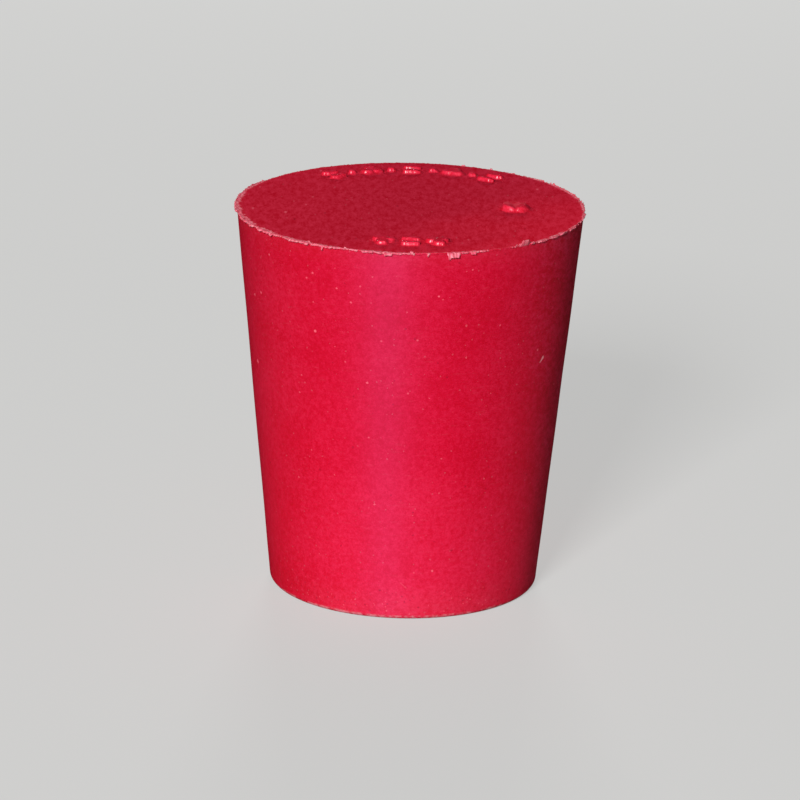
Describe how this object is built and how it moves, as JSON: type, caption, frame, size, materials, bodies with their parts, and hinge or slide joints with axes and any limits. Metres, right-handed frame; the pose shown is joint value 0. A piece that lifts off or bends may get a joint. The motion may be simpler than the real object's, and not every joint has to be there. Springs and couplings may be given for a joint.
{
  "type": "rubber stopper",
  "caption": "Solid tapered rubber stopper for a laboratory flask or tube, with a thin flash lip and small raised marks on its wide end.",
  "frame": {"origin": "centre of the narrow end face, which is what the stopper stands on", "axes": "+Z along the stopper's axis, from the narrow end up to the wide end; +X from the axis towards the round pip on the wide end"},
  "size_m": [0.0274, 0.0274, 0.0308],
  "materials": {
    "red_rubber": "satin red rubber with a faint dusty bloom on the wide end and pale torn flash"
  },
  "bodies": {
    "root": {"stopper": "red_rubber"}
  },
  "joints": []
}
